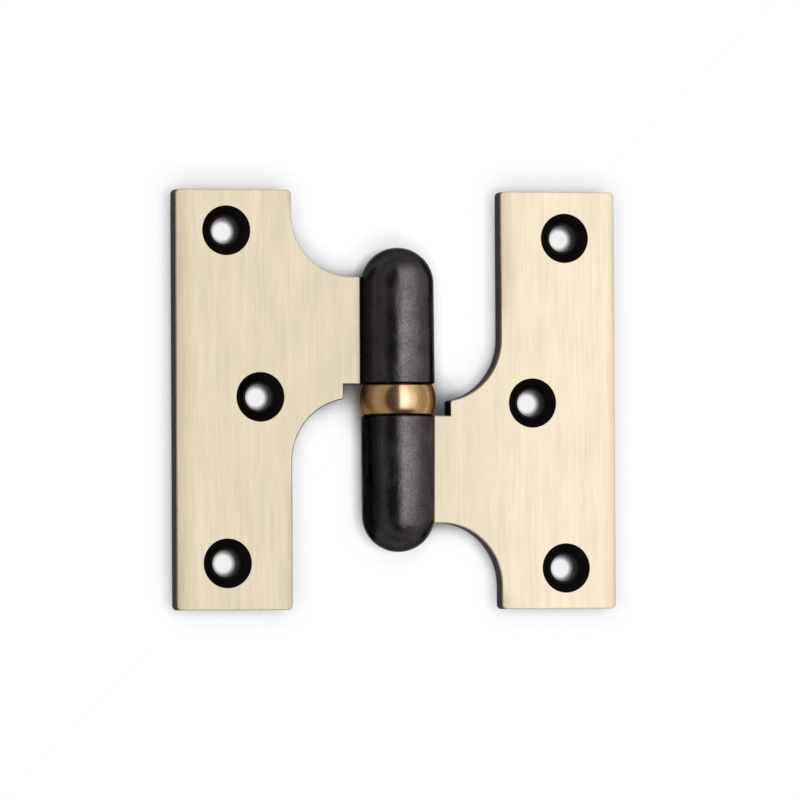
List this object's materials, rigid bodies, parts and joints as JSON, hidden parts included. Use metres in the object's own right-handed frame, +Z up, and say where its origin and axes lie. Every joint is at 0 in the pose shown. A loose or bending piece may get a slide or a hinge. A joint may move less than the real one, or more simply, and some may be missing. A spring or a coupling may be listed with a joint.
{
  "type": "barrel hinge",
  "caption": "Lift-off barrel hinge with brushed brass leaves in an H outline, dark domed knuckles and a crowned brass ring between them.",
  "frame": {"origin": "on the pin's axis, half way between the two knuckles and at the middle of the ring, which is the middle of the whole part", "axes": "the hinge lies open and flat on its back: +X across the leaves towards the lower leaf, +Y along the pin towards the upper knuckle, +Z up out of the brushed faces"},
  "size_m": [0.098, 0.09, 0.0162],
  "materials": {
    "brushed_brass": "face brushed along the pin and pale, edges, back and countersinks left dark",
    "dark_bronze": "oxidised near black, satin",
    "ring_brass": "satin, turned",
    "pin_steel": "ground bright"
  },
  "bodies": {
    "lower_half": {"lower_leaf": "brushed_brass", "lower_knuckle": "dark_bronze", "hinge_pin": "pin_steel"},
    "ring": {"ring": "ring_brass"},
    "upper_half": {"upper_leaf": "brushed_brass", "upper_knuckle": "dark_bronze"}
  },
  "joints": [
    {"name": "swing", "type": "hinge", "parent": "lower_half", "child": "ring", "pos_m": [0, 0, 0], "axis": [0, 1, 0], "range_deg": [-138, 180]},
    {"name": "lift_off", "type": "slide", "parent": "ring", "child": "upper_half", "axis": [0, 1, 0], "range_m": [0, 0.02]}
  ]
}
